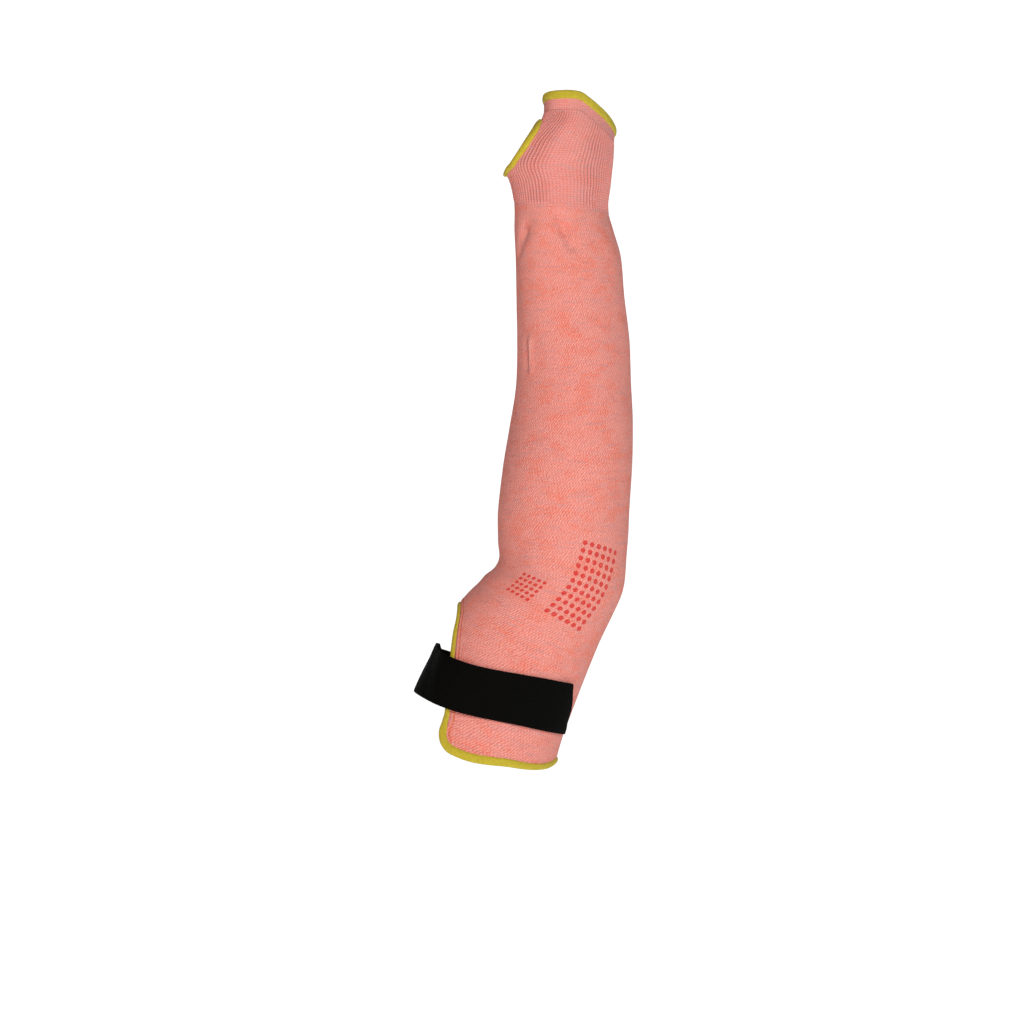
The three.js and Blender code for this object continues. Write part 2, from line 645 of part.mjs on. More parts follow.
function addStrap() {
  const band = layCloth(strapGrid(), offFace(ovalPoint, (place) => strapLift(place) + STRAP_WALL),
    offFace(ovalPoint, strapLift));
  const geometry = wallGeometry(band, () => true, false);
  addPiece('closure_strap', geometry, { colour: COLOURS.strap, roughness: 0.85 });
}

addSleeveBody();
addCuff();
addStrap();

export default sleeve;
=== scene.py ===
"""A knitted cut resistant sleeve with a ribbed thumb-hole cuff, bound edges and a closure strap."""
import math

import bmesh
import bpy
import numpy as np
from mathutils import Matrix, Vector


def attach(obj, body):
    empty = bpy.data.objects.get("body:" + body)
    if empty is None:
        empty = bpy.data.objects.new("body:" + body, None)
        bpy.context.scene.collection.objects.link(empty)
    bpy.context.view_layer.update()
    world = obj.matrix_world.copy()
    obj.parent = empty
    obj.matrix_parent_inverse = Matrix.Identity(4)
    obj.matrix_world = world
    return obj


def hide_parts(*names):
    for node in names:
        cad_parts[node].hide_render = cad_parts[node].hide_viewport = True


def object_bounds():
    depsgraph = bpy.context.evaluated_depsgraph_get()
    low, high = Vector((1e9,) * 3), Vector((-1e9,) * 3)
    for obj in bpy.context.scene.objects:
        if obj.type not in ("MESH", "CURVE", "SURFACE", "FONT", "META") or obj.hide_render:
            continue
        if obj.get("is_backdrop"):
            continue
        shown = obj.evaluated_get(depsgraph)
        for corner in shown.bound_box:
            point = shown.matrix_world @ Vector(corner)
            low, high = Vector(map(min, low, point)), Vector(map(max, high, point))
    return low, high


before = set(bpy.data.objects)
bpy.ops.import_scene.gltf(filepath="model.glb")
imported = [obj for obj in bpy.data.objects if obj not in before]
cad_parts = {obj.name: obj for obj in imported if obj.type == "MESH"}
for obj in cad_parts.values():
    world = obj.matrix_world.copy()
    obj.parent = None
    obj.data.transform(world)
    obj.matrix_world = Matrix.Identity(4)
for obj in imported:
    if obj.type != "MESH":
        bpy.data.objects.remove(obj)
cad_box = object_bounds()

MM = 0.001
FULL_TURN = 360.0

# Sizes in millimetres and degrees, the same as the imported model's
SLEEVE_LENGTH = 508.0
FOREARM_BREADTH = 98.0
FOREARM_DEPTH = 98.0
KNIT_WALL = 1.6
CUFF_WALL = 1.9
CUFF_LENGTH = 87.0
CUFF_LINE_SLANT = 4.0
CUFF_LINE_HIGH = -40.0
HAND_EDGE_SLANT = 22.0
HEM_SLANT = 26.0
SLIT_LENGTH = 98.0
SLIT_SPREAD = 60.0
ARCH_SHARE = 0.1
HEM_CORNER_RADIUS = 15.0
THUMB_HOLE_LENGTH = 36.0
THUMB_HOLE_TOP = 25.0
THUMB_HOLE_SPREAD = 38.0
THUMB_RIM_SLANT = 57.0
THUMB_RIM_TURN = 4.0
HOLE_REACH = 2.2
BINDING_WIDTH = 6.6
PACKED_BINDING_WALL = 0.9
STRAP_WIDTH = 37.5
STRAP_WALL = 2.0
CLEARANCE = 0.4
NORMAL_STEP = 0.5

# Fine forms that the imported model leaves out
SLACK_RELIEF = 0.14  # of each wave of the knit's unevenness
RIBS = 84
RIB_RELIEF = 0.4
WELT_LENGTH = 12.5  # plain welt under the hand edge
SEAM_INSET = 6.7  # from the slit's edge to its seam line
ROLL_INSET = 4.9  # from the slit's edge to the top of its rolled ridge
ROLL_WIDTH = 1.6
ROLL_RELIEF = 0.5
PLEAT_AROUND = 40.5  # a small pleat, whose ridge line has a painted highlight
PLEAT_ALONG = 0.611  # share of the sleeve's length
BINDING_WALL = 1.2  # thread on each face of the cloth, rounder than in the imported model
BINDING_ROUNDNESS = 0.78  # 1 gives an oval section and less gives a squarer one
THREAD_PITCH = 1.45  # along a binding
THREAD_RELIEF = 0.13
THREAD_STEP = 0.36  # between a binding's cross-sections
UNEVEN_RELIEF = 0.07  # of a binding
TUCK_RISE = 4.0  # how far the strap's upper edge stands up in front of the arm
TUCK_LIFT = 0.8  # and away from the cloth
END_WAVE = 0.4  # of the strap's free end, in degrees

# The materials' patterns, in millimetres on the cloth
STITCH_SLANT = 57.0  # of the plain knit, in degrees
STITCH_PITCH = 1.6
WALE_PITCH = 2.1
RIB_COURSE = 1.8  # height of a stitch on a rib
YARN_PITCH = 0.62  # between the threads of a binding
CORD_PITCH = 1.25  # between the strap's lengthwise cords
WEFT_PITCH = 0.8
UV_PER_DEGREE = 0.78  # of the knit's UV map, for a degree round the sleeve
STRAP_UV_PER_DEGREE = 0.95


def table(columns, *rows):
    """Rows of numbers under named columns."""
    return {name: np.array(values, float) for name, values in zip(columns.split(), zip(*rows))}


# Sections across the sleeve from the hem to the hand edge: middle, turn, size and lean
SECTIONS = table(
    "shift rise tilt breadth depth lean",
    (-0.049, -0.109, 25, 1.247, 1.061, 0),
    (-0.029, -0.076, 25, 1.241, 1.031, 0),
    (0, 0, 24, 1.175, 0.98, 0),
    (0.0505, 0.109, 20, 1.095, 0.93, 0),
    (0.091, 0.174, 12, 0.997, 0.94, 0),
    (0.099, 0.228, 3, 0.996, 0.98, 0),
    (0.101, 0.278, 0, 1.003, 1, 0),
    (0.1075, 0.346, -2, 0.992, 1, 0),
    (0.113, 0.407, -3, 0.942, 0.94, 0),
    (0.116, 0.464, -2, 0.884, 0.857, 2),
    (0.1155, 0.529, 0, 0.859, 0.786, 4),
    (0.111, 0.594, 0, 0.83, 0.735, 6),
    (0.108, 0.653, 0, 0.807, 0.704, 8),
    (0.102, 0.692, 0, 0.759, 0.684, 9),
    (0.098, 0.726, 0, 0.716, 0.673, 10),
    (0.097, 0.757, 0, 0.761, 0.704, 11),
    (0.094, 0.779, 0, 0.817, 0.735, 13),
    (0.1015, 0.798, 0, 0.761, 0.755, 16),
    (0.1075, 0.814, 0, 0.71, 0.765, 20),
    (0.1175, 0.833, 0, 0.622, 0.776, 24),
    (0.125, 0.851, 0, 0.556, 0.765, 28),
    (0.126, 0.872, 0, 0.559, 0.755, 30),
    (0.126, 0.904, 0, 0.559, 0.755, 30),
)
HEM_SECTION = 1
step_up = np.hypot(np.diff(SECTIONS["shift"]), np.diff(SECTIONS["rise"])) * SLEEVE_LENGTH
SECTIONS["along"] = np.concatenate([[0.0], np.cumsum(step_up)])
SECTIONS["along"] -= SECTIONS["along"][HEM_SECTION]

# Creases (depth above 0) and ridges (below 0) in the plain knit, each from one place to another
FOLDS = table(
    "along around to_along to_around width depth",
    (0.806, 46, 0.788, 34, 0.055, 0.012),
    (0.79, 36, 0.762, 20, 0.048, 0.021),
    (0.812, 84, 0.790, 89, 0.036, 0.022),
    (0.790, 89, 0.768, 94, 0.042, 0.028),
    (0.800, 66, 0.745, 58, 0.10, -0.008),
    (0.78, 120, 0.73, 135, 0.07, 0.006),
    (0.63, 38.5, 0.592, 40.5, 0.027, -0.016),
    (0.63, 32.5, 0.592, 34.5, 0.034, 0.009),
    (0.3, -35, 0.3, 40, 0.14, 0.022),
    (0.262, -30, 0.255, 34, 0.06, -0.01),
    (0.235, 8, 0.222, 40, 0.05, 0.006),
    (0.29, 170, 0.26, 225, 0.12, -0.012),
    (0.70, 15, 0.64, 22, 0.06, 0.006),
    (0.56, 200, 0.5, 240, 0.08, 0.006),
    (0.74, 200, 0.69, 250, 0.07, 0.009),
    (0.71, 290, 0.66, 330, 0.06, 0.008),
    (0.43, 300, 0.38, 335, 0.08, 0.008),
    (0.12, 250, 0.17, 290, 0.08, 0.008),
)
SLIT_EDGE = table(
    "down spread",
    (0, 0), (0.025, 0.19), (0.1, 0.37), (0.18, 0.47), (0.33, 0.63),
    (0.55, 0.81), (0.8, 0.98), (0.92, 1), (1.1, 1.01),
)
HEM_EDGE = table(
    "around height",
    (55, -0.2), (80, -0.19), (90, -0.14), (101, -0.02), (114, 0.14),
    (133, 0.3), (150, 0.46), (165, 0.62), (175, 0.68), (180, 0.68),
)
HAND_EDGE = table(
    "around fall",
    (0, 0.03), (50, 0), (88, 0.01), (104, 0.19), (122, 0.42), (153, 0.76),
    (180, 0.96), (205, 1), (240, 0.9), (280, 0.58), (325, 0.16), (360, 0.03),
)
STRAP_LINE = table(
    "around height",
    (-75, 1.1), (-40, 1.06), (0, 1.06), (45, 1.07), (65, 1.12), (82, 1.21),
    (100, 1.32), (120, 1.42), (146, 1.5), (175, 1.55),
)
STRAP_SEWN_END = -84.0
STRAP_CUT = table(
    "across around",
    (0, 165), (0.12, 163), (0.25, 160.5), (0.42, 159), (0.6, 157), (0.75, 152), (1, 146),
)


def smoothstep(x, low, high):
    t = np.clip((x - low) / (high - low), 0, 1)
    return t * t * (3 - 2 * t)


def mix(a, b, share):
    return a + (b - a) * share


def read_table(rows, at, key, column):
    """Smooth value of a column: cubic pieces through the rows, with slopes from their neighbours."""
    x = rows[key]
    y = rows[column]
    last = len(x) - 1
    low = np.maximum(np.arange(last + 1) - 1, 0)
    high = np.minimum(np.arange(last + 1) + 1, last)
    slope = (y[high] - y[low]) / (x[high] - x[low])
    at = np.asarray(at, float)
    i = np.clip(np.searchsorted(x, at, side="left") - 1, 0, last - 1)
    step = x[i + 1] - x[i]
    t = np.clip((at - x[i]) / step, 0, 1)
    bend = t * (1 - t) ** 2 * step * slope[i] + t * t * (t - 1) * step * slope[i + 1]
    return mix(y[i], y[i + 1], t * t * (3 - 2 * t)) + bend


def oval_point(along, around):
    """A place on the smooth sleeve: millimetres from the hem and degrees from the crook."""
    along, around = np.broadcast_arrays(np.asarray(along, float), np.asarray(around, float))
    read = lambda column: read_table(SECTIONS, along, "along", column)
    angle = np.radians(around)
    tilt = np.radians(read("tilt"))
    across = -np.cos(angle) * read("breadth") * FOREARM_BREADTH / 2
    towards = -np.sin(angle + np.radians(read("lean"))) * read("depth") * FOREARM_DEPTH / 2
    x = read("shift") * SLEEVE_LENGTH + across * np.cos(tilt)
    z = read("rise") * SLEEVE_LENGTH - across * np.sin(tilt)
    return np.stack([x, towards, z], axis=-1)


def unit(vectors):
    return vectors / np.maximum(np.linalg.norm(vectors, axis=-1, keepdims=True), 1e-9)


def outward_normal(surface, along, around):
    way_round = surface(along, around + NORMAL_STEP) - surface(along, around - NORMAL_STEP)
    way_up = surface(along + NORMAL_STEP, around) - surface(along - NORMAL_STEP, around)
    return unit(np.cross(way_round, way_up))


def off_face(surface, height):
    """The surface moved outwards by a height that depends on the place."""

    def moved(along, around):
        along, around = np.broadcast_arrays(np.asarray(along, float), np.asarray(around, float))
        rise = height(along, around)[..., None]
        return surface(along, around) + outward_normal(surface, along, around) * rise

    return moved


def mm_per_degree(along):
    breadth = read_table(SECTIONS, along, "along", "breadth") * FOREARM_BREADTH
    depth = read_table(SECTIONS, along, "along", "depth") * FOREARM_DEPTH
    return math.pi * (breadth + depth) / 2 / FULL_TURN


def signed_turn(around):
    return np.mod(around + 180, FULL_TURN) - 180


def fold_height(along, around):
    scale = mm_per_degree(along)
    height = np.zeros(np.shape(along))
    for k in range(len(FOLDS["along"])):
        fold = {name: column[k] for name, column in FOLDS.items()}
        run_u = signed_turn(fold["to_around"] - fold["around"]) * scale
        run_v = (fold["to_along"] - fold["along"]) * SLEEVE_LENGTH
        here_u = signed_turn(around - fold["around"]) * scale
        here_v = along - fold["along"] * SLEEVE_LENGTH
        share = np.clip((here_u * run_u + here_v * run_v) / (run_u ** 2 + run_v ** 2), 0, 1)
        away = np.hypot(here_u - run_u * share, here_v - run_v * share) / (fold["width"] * FOREARM_BREADTH)
        height = height - fold["depth"] * FOREARM_BREADTH * np.exp(-away ** 2)
    return height


def slack(along, around):
    """Soft unevenness of stretched knit, a few tenths of a millimetre."""
    angle = np.radians(around)
    waves = np.sin(3 * angle + along / 31) + np.sin(5 * angle - along / 23 + 1.3)
    waves = waves + 0.7 * np.sin(7 * angle + along / 17 + 0.4) + 0.6 * np.sin(2 * angle - along / 11)
    return SLACK_RELIEF * waves


def tube_surface(along, around):
    height = fold_height(along, around) + slack(along, around) * smoothstep(along, -20, 30)
    return oval_point(along, around) + outward_normal(oval_point, along, around) * height[..., None]


# The thumb hole is an oval in along and around, drawn out to a flat rim
HOLE_TOP = SLEEVE_LENGTH - THUMB_HOLE_TOP
HOLE_MIDDLE = HOLE_TOP - THUMB_HOLE_LENGTH / 2
HOLE_LOW_POINT = oval_point(HOLE_TOP - THUMB_HOLE_LENGTH, 0)
rim_slant = math.radians(THUMB_RIM_SLANT)
rim_turn = math.radians(THUMB_RIM_TURN)
RIM_NORMAL = np.array([
    -math.sin(rim_slant) * math.cos(rim_turn), -math.sin(rim_turn), math.cos(rim_slant) * math.cos(rim_turn),
])


def cuff_surface(along, around):
    along, around = np.broadcast_arrays(np.asarray(along, float), np.asarray(around, float))
    x = signed_turn(around) / THUMB_HOLE_SPREAD
    y = (along - HOLE_MIDDLE) * 2 / THUMB_HOLE_LENGTH
    away = np.maximum(np.hypot(x, y), 1e-6)
    rim = oval_point(HOLE_MIDDLE + y / away * THUMB_HOLE_LENGTH / 2, x / away * THUMB_HOLE_SPREAD)
    short = np.maximum(0, -(rim - HOLE_LOW_POINT) @ RIM_NORMAL)
    pull = short * (1 - smoothstep(away, 1, HOLE_REACH))
    return oval_point(along, around) + RIM_NORMAL * pull[..., None]


def cuff_line(around):
    return SLEEVE_LENGTH - CUFF_LENGTH + CUFF_LINE_SLANT * np.cos(np.radians(around - CUFF_LINE_HIGH))


def hand_edge(around):
    fall = read_table(HAND_EDGE, np.mod(around, FULL_TURN), "around", "fall")
    return SLEEVE_LENGTH - CLEARANCE - PACKED_BINDING_WALL - HAND_EDGE_SLANT * fall


def hem_along(around):
    return read_table(HEM_EDGE, around, "around", "height") * HEM_SLANT


def slit_around(down):
    return read_table(SLIT_EDGE, down, "down", "spread") * SLIT_SPREAD


def slit_line(shares):
    return np.stack([SLIT_LENGTH * (1 - shares), slit_around(shares)], axis=-1)


corner_start = 1 - (hem_along(SLIT_SPREAD) + HEM_CORNER_RADIUS) / SLIT_LENGTH


def corner_line(start, end, count=24):
    """The hem's rounded corner, from one angle of its arc to another."""
    arc = np.radians(np.linspace(start, end, count + 1))
    around = slit_around(corner_start) + HEM_CORNER_RADIUS / mm_per_degree(0.0) * (1 - np.cos(arc))
    return np.stack([hem_along(around) + HEM_CORNER_RADIUS * (1 - np.sin(arc)), around], axis=-1)


def spread(line, count):
    """Places at even distances along a line of places."""
    step = np.hypot(np.diff(line[:, 0]), np.diff(line[:, 1]) * mm_per_degree(0.0))
    far = np.concatenate([[0.0], np.cumsum(step)])
    goal = np.linspace(0, far[-1], count + 1)
    return np.stack([np.interp(goal, far, line[:, 0]), np.interp(goal, far, line[:, 1])], axis=-1)


def other_half(line):
    """The same line on the hidden side of the slit, run the other way."""
    return np.stack([line[:, 0], FULL_TURN - line[:, 1]], axis=-1)[::-1]


slit_side = slit_line(np.linspace(ARCH_SHARE, corner_start, 60))
side_line = np.concatenate([slit_side, corner_line(0, 45)[1:]])[::-1]
hem_start = corner_line(45, 90)
hem_angles = np.linspace(hem_start[-1, 1], 180, 60)[1:]
hem_half = np.concatenate([hem_start, np.stack([hem_along(hem_angles), hem_angles], axis=-1)])
hem_line = np.concatenate([hem_half, other_half(hem_half)[1:]])
arch_half = slit_line(ARCH_SHARE * np.linspace(0, 1, 40) ** 2)
arch_line = np.concatenate([other_half(arch_half) - (0, FULL_TURN), arch_half[1:]])

RIM_RING = 0.9995  # an extra ring beside a bare end, so that its smooth shading stays crisp
BODY_CELLS = {"open_columns": 146, "arch_columns": 22, "open_rows": 62, "blend_rows": 14, "tube_rows": 188}
CUFF_CELLS = {"columns": 504, "hole_columns": 100, "below": 26, "hole": 26, "above": 15}
STRAP_CELLS = {"length": 320, "rim": 64}


def body_places():
    """Places of the plain knit's grid, which opens at the slit and closes above it."""
    cells = BODY_CELLS
    side = spread(side_line, cells["open_rows"])
    far_side = np.stack([side[:, 0], FULL_TURN - side[:, 1]], axis=-1)
    hem = spread(hem_line, cells["open_columns"])
    shoulder = side[-1]
    u = np.linspace(0, 1, cells["open_columns"] + 1)[None, :, None]
    t = np.linspace(0, 1, cells["open_rows"] + 1)[:, None, None]
    top_around = mix(shoulder[1], FULL_TURN - shoulder[1], u[0, :, 0])
    top = np.stack([np.full(len(top_around), shoulder[0]), top_around], axis=-1)
    flat = mix(mix(hem[0], hem[-1], u), mix(top[0], top[-1], u), t)
    opened = mix(hem[None], top[None], t) + mix(side[:, None], far_side[:, None], u) - flat
    arch = spread(arch_line, cells["arch_columns"])[1:] + (0, FULL_TURN)
    opened = np.concatenate([opened, np.broadcast_to(arch, (len(opened), *arch.shape))], axis=1)
    last = opened[-1]
    columns = cells["open_columns"] + cells["arch_columns"]
    first_angle = cells["arch_columns"] / 2 * FULL_TURN / columns
    even_angle = first_angle + np.arange(columns + 1) * FULL_TURN / columns
    even_start = SLIT_LENGTH + 20
    even = np.stack([np.full(columns + 1, even_start), even_angle], axis=-1)
    blend = np.linspace(0, 1, cells["blend_rows"] + 1)[1:-1, None, None]
    t = np.append(np.linspace(0, 1, cells["tube_rows"]), RIM_RING)[:, None]
    t = np.sort(t, axis=0)
    ring_along = mix(even_start, cuff_line(even_angle), t)
    rings = np.stack([ring_along, np.broadcast_to(even_angle, ring_along.shape)], axis=-1)
    return np.concatenate([opened, mix(last[None], even[None], blend), rings])


def cuff_places():
    """Places of the ribbed cuff's grid, whose lines bend round the thumb hole."""
    cells = CUFF_CELLS
    half = cells["hole_columns"] / 2
    j = np.arange(cells["columns"] + 1)
    beside = (j - half) / (cells["columns"] - cells["hole_columns"])
    round_back = mix(THUMB_HOLE_SPREAD, FULL_TURN - THUMB_HOLE_SPREAD, beside)
    around = np.where(beside <= 0, j / half * THUMB_HOLE_SPREAD, round_back)
    around = np.where(beside >= 1, FULL_TURN + (j - cells["columns"]) / half * THUMB_HOLE_SPREAD, around)
    low = cuff_line(around)
    high = hand_edge(around)
    hole_low = HOLE_MIDDLE - THUMB_HOLE_LENGTH / 2
    first_rows = np.sort(np.append(np.linspace(0, 1, cells["below"]), 1 - RIM_RING))
    hole_rows = hole_low + THUMB_HOLE_LENGTH * np.linspace(0, 1, cells["hole"] + 1)[1:]
    rows = [mix(low, hole_low, t) for t in first_rows]
    rows += [np.full(len(j), row) for row in hole_rows]
    rows += [mix(HOLE_TOP, high, t) for t in np.linspace(0, 1, cells["above"] + 1)[1:]]
    along = np.array(rows)
    turn = np.where(np.broadcast_to(around, along.shape) > 180, FULL_TURN, 0)
    x = (around - turn) / THUMB_HOLE_SPREAD
    y = (along - HOLE_MIDDLE) * 2 / THUMB_HOLE_LENGTH
    square = np.maximum(np.abs(x), np.abs(y))
    pull = mix(square / np.maximum(np.hypot(x, y), 1e-6), 1, smoothstep(square, 1, HOLE_REACH))
    pull = np.where((square >= HOLE_REACH) | (along <= low) | (along >= high), 1, pull)
    pulled_along = HOLE_MIDDLE + y * pull * THUMB_HOLE_LENGTH / 2
    return np.stack([pulled_along, x * pull * THUMB_HOLE_SPREAD + turn], axis=-1)


def distance_to(line, places):
    """Millimetres over the cloth from each place to a line of places."""
    scale = mm_per_degree(0.0)
    best = np.full(places.shape[:-1], 1e9)
    for along, around in line:
        gap = np.hypot(places[..., 0] - along, signed_turn(places[..., 1] - around) * scale)
        best = np.minimum(best, gap)
    return best


def mesh_from_grid(name, points, flat, kept=None, marks=None):
    """A grid of faces through points, without those that aren't kept. The UV maps are flat and marks."""
    rows, columns = points.shape[:2]
    mesh = bmesh.new()
    bmesh.ops.create_grid(mesh, x_segments=columns - 1, y_segments=rows - 1, size=1)
    maps = {"cloth": flat} if marks is None else {"cloth": flat, "mark": marks}
    for map_name in maps:
        mesh.loops.layers.uv.new(map_name)
    layers = [(mesh.loops.layers.uv[map_name], values) for map_name, values in maps.items()]
    place = {}
    for corner in mesh.verts:
        i = round((corner.co.y + 1) / 2 * (rows - 1))
        j = round((corner.co.x + 1) / 2 * (columns - 1))
        place[corner] = (i, j)
    surplus = []
    for face in mesh.faces:
        spots = [place[loop.vert] for loop in face.loops]
        for loop, (i, j) in zip(face.loops, spots):
            for layer, values in layers:
                loop[layer].uv = values[i, j]
        cell = (min(i for i, j in spots), min(j for i, j in spots))
        if kept is not None and not kept(*cell):
            surplus.append(face)
    for corner, (i, j) in place.items():
        corner.co = points[i, j] * MM
    bmesh.ops.delete(mesh, geom=surplus, context="FACES")
    bmesh.ops.remove_doubles(mesh, verts=mesh.verts[:], dist=1e-6)
    return mesh


def face_outwards(mesh, middle_at):
    """Normals away from the sleeve's middle line, on an open sheet."""
    bmesh.ops.recalc_face_normals(mesh, faces=mesh.faces[:])
    total = 0.0
    for face in list(mesh.faces)[::20]:
        centre = face.calc_center_median()
        total += face.normal.dot(centre - middle_at(centre)) * face.calc_area()
    if total < 0:
        bmesh.ops.reverse_faces(mesh, faces=mesh.faces[:])


def middle_line(centre):
    """The point of the sleeve's middle line level with a point, in metres."""
    rise = SECTIONS["rise"] * SLEEVE_LENGTH * MM
    shift = SECTIONS["shift"] * SLEEVE_LENGTH * MM
    return Vector((float(np.interp(centre.z, rise, shift)), 0.0, centre.z))


def piece_from(mesh, name, finish, wall=None):
    data = bpy.data.meshes.new(name)
    for face in mesh.faces:
        face.smooth = True
    mesh.to_mesh(data)
    mesh.free()
    piece = bpy.data.objects.new(name, data)
    bpy.context.scene.collection.objects.link(piece)
    data.materials.append(finish)
    if wall:
        solid = piece.modifiers.new("wall", "SOLIDIFY")
        solid.thickness = wall * MM
        solid.offset = -1
        solid.use_even_offset = True
    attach(piece, "root")
    return piece


class Wire:
    """A socket in a material, on which sums, products and differences add Math nodes."""

    def __init__(self, finish, socket):
        self.finish = finish
        self.socket = socket

    def math(self, operation, *values):
        return self.finish.node("ShaderNodeMath", {"operation": operation}, dict(enumerate(values)))

    def __add__(self, other):
        return self.math("ADD", self, other)

    def __sub__(self, other):
        return self.math("SUBTRACT", self, other)

    def __rsub__(self, other):
        return self.math("SUBTRACT", other, self)

    def __mul__(self, other):
        return self.math("MULTIPLY", self, other)

    def __truediv__(self, other):
        return self.math("DIVIDE", self, other)

    def __pow__(self, other):
        return self.math("POWER", self, other)

    def sine(self):
        return self.math("SINE", self)

    def fraction(self):
        return self.math("FRACT", self)

    def size(self):
        return self.math("ABSOLUTE", self)

    def between(self, low, high):
        """0 below low, 1 above high and smooth between them."""
        settings = {"interpolation_type": "SMOOTHSTEP"}
        sockets = {"Value": self, "From Min": low, "From Max": high}
        return self.finish.node("ShaderNodeMapRange", settings, sockets)


class Finish:
    """A material built node by node."""

    def __init__(self, name):
        self.material = bpy.data.materials.new(name)
        self.material.use_nodes = True
        self.tree = self.material.node_tree
        self.tree.nodes.clear()

    def node(self, kind, settings=None, sockets=None, output=0):
        made = self.tree.nodes.new(kind)
        for key, value in (settings or {}).items():
            setattr(made, key, value)
        for key, value in (sockets or {}).items():
            if isinstance(value, Wire):
                self.tree.links.new(value.socket, made.inputs[key])
            else:
                made.inputs[key].default_value = value
        return Wire(self, made.outputs[output])

    def pair(self, name):
        """Both numbers of a UV map. Those of cloth are its own millimetres, round it and along it."""
        uv = self.node("ShaderNodeUVMap", {"uv_map": name})
        split = self.node("ShaderNodeSeparateXYZ", {}, {0: uv})
        return split, Wire(self, split.socket.node.outputs[1])

    def noise(self, u, v, scale, detail=2.0, roughness=0.5, shift=0.0):
        place = self.node("ShaderNodeCombineXYZ", {}, {0: u, 1: v, 2: shift})
        sockets = {"Vector": place, "Scale": scale, "Detail": detail, "Roughness": roughness}
        return self.node("ShaderNodeTexNoise", {}, sockets)

    def blend(self, share, first, second):
        """The first colour with a share of the second."""
        return self.node("ShaderNodeMix", {"data_type": "RGBA"}, {0: share, 6: first, 7: second}, output=2)

    def bump(self, height, distance, strength=1.0, normal=None):
        sockets = {"Height": height, "Distance": distance, "Strength": strength}
        if normal is not None:
            sockets["Normal"] = normal
        return self.node("ShaderNodeBump", {}, sockets)

    def surface(self, varied, constant):
        """The finished material, from what varies over the surface and what is the same all over it."""
        shader = self.node("ShaderNodeBsdfPrincipled", {}, {**varied, **constant})
        made = self.tree.nodes.new("ShaderNodeOutputMaterial")
        self.tree.links.new(shader.socket, made.inputs["Surface"])
        return self.material


def shade(red, green, blue):
    """A colour given as on a screen, 0 to 255, turned into light."""
    def light(value):
        value = value / 255
        return value / 12.92 if value <= 0.04045 else ((value + 0.055) / 1.055) ** 2.4

    return (light(red), light(green), light(blue), 1.0)


def round_top(x):
    """0 at both ends of a stitch and 1 in its middle."""
    return (x - 0.5) * (x - 0.5) * -4 + 1


def slanted_stitches(finish, u, v):
    """Height of the plain knit's drawn-out stitches, which slant up to the elbow's side and waver."""
    slant = math.radians(STITCH_SLANT)
    drift = finish.noise(u, v, 0.1, 2.0, 0.5, 21.0) * 2 + finish.noise(u, v, 0.55, 2.0, 0.6, 29.0) * 1.5
    y = ((v * math.cos(slant) - u * math.sin(slant)) / STITCH_PITCH + drift).fraction()
    wale = ((u + v * 0.25) * (math.tau / WALE_PITCH)).sine() * 0.2 + 0.8
    return round_top(y) * wale


def rib_stitches(finish, u, v):
    """Height of the ribbed knit's stitches, a V on each rib."""
    x = (u / (UV_PER_DEGREE * FULL_TURN / RIBS)).fraction()
    leg = (x - 0.5).size() * 2
    drift = finish.noise(u, v, 0.3, 1.0, 0.5, 29.0) * 0.8
    y = (v / RIB_COURSE + leg * 0.7 + drift).fraction()
    return round_top(y) * (leg * 0.4 + 0.6)


def marl(finish, u, v, colours):
    """Marled yarn colour: speckles, soft flecks that run round the sleeve and warm blotches."""
    speckle = finish.noise(u, v, 0.8, 2.0, 0.6)
    fleck = finish.noise(u * 0.13, v, 0.62, 2.0, 0.5, 7.0)
    blotch = finish.noise(u * 0.7, v, 0.1, 4.0, 0.65, 13.0)
    colour = finish.blend(blotch.between(0.44, 0.68) * 0.75, colours["yarn"], colours["warm"])
    colour = finish.blend(speckle.between(0.4, 0.74) * 0.7, colour, colours["pale"])
    return finish.blend(fleck.between(0.48, 0.78) * 0.6, colour, colours["grey"])


# In both knits gap is painted shade in the gaps between stitches and top is a painted highlight on stitch
# tops; yarn, warm, pale and grey are the marled yarn's own colours
KNIT_COLOURS = {
    "yarn": shade(230, 139, 126), "warm": shade(233, 110, 84), "pale": shade(232, 172, 161),
    "grey": shade(192, 140, 141), "gap": shade(180, 80, 68), "top": shade(243, 190, 177),
}
RIB_COLOURS = {
    "yarn": shade(228, 138, 128), "warm": shade(229, 122, 106), "pale": shade(233, 170, 161),
    "grey": shade(192, 148, 148), "gap": shade(178, 90, 83), "top": shade(239, 191, 182),
}
# gap is painted shade between the binding's threads
THREAD_COLOURS = {
    "yarn": shade(209, 191, 56), "shaded": shade(190, 173, 46), "gap": shade(150, 134, 34),
}
STRAP_COLOURS = {"cord": shade(7, 7, 6), "dust": shade(16, 16, 15)}
# Painted shade, greyer and darker, for the rib grooves and the crease line under the welt
PAINTED_GROOVE_SHADE = shade(170, 112, 107)
SEAM_ORANGE = shade(226, 104, 56)
PRINT_RED = shade(205, 40, 36)


def dot_block(finish, u, v, middle, turn, cells, pitch):
    """Plain printed dots in a turned block of cells."""
    angle = math.radians(turn)
    du = u - middle[0]
    dv = v - middle[1]
    x = (du * math.cos(angle) + dv * math.sin(angle)) / pitch
    y = (dv * math.cos(angle) - du * math.sin(angle)) / pitch
    inside = (cells[0] / 2 - x.size()).between(-0.02, 0.02) * (cells[1] / 2 - y.size()).between(-0.02, 0.02)
    dx = (x + cells[0] / 2).fraction() - 0.5
    dy = (y + cells[1] / 2).fraction() - 0.5
    away = (dx * dx + dy * dy) ** 0.5
    return inside * (1 - away.between(0.29, 0.36))


def line_at(distance, place, half_width):
    """1 on a line at a place and 0 beside it."""
    return 1 - ((distance - place) / half_width).size().between(0.0, 1.0)


